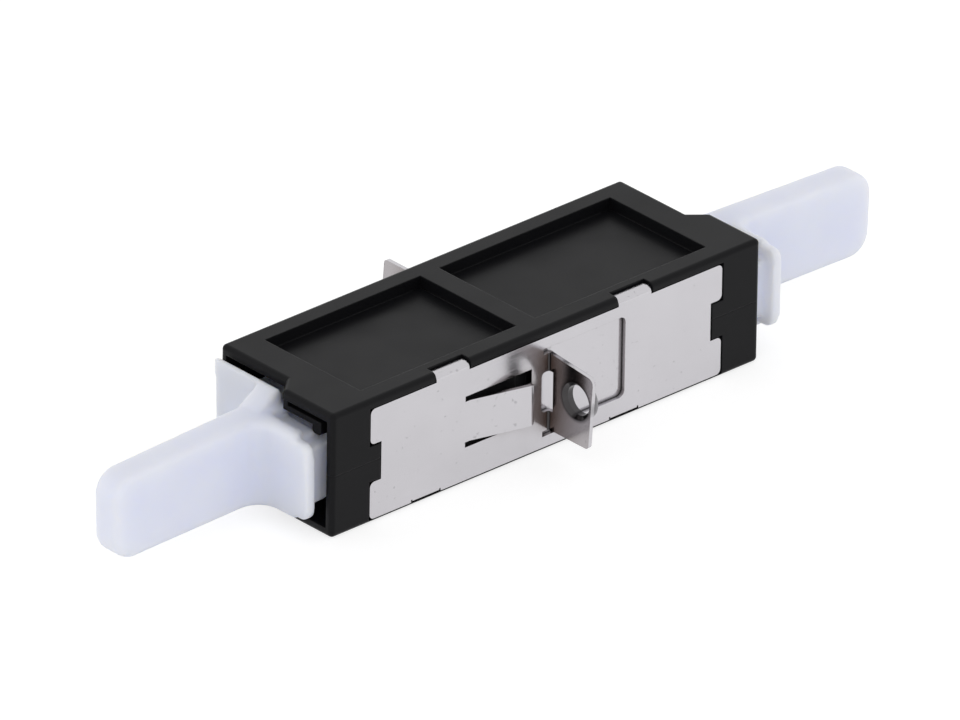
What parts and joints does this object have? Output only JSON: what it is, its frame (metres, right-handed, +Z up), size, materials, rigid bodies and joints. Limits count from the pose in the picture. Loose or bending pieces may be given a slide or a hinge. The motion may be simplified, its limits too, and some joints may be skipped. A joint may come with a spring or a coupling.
{
  "type": "latching fibre adapter",
  "caption": "In-line optical fibre adapter: black clamshell housing clamped by sprung steel side plates with panel tongues and folded screw ears, and a white dust plug in each mouth.",
  "frame": {"origin": "middle of the housing's underside", "axes": "+X along the optical axis, +Z up out of the recessed top face, -Y towards the near half of the housing"},
  "size_m": [0.0694, 0.0214, 0.0094],
  "materials": {
    "housing": "satin moulded, black",
    "side_plate": "bright rolled spring steel",
    "backing_plate": "bright rolled steel",
    "sleeve_holder": "satin moulded, black",
    "sleeve": "ground white ceramic",
    "plug": "soft translucent white"
  },
  "bodies": {
    "adapter": {"upper_shell": "housing", "lower_shell": "housing", "front_side_plate": "side_plate", "rear_side_plate": "side_plate", "front_backing_plate": "backing_plate", "rear_backing_plate": "backing_plate", "left_sleeve_holder": "sleeve_holder", "right_sleeve_holder": "sleeve_holder", "split_sleeve": "sleeve"},
    "left_plug": {"left_dust_plug": "plug"},
    "right_plug": {"right_dust_plug": "plug"}
  },
  "joints": [
    {"name": "left_plug_pull", "type": "slide", "parent": "adapter", "child": "left_plug", "axis": [-1, 0, 0], "range_m": [0, 0.012]},
    {"name": "right_plug_pull", "type": "slide", "parent": "adapter", "child": "right_plug", "axis": [1, 0, 0], "range_m": [-0.0012, 0.0108]}
  ]
}
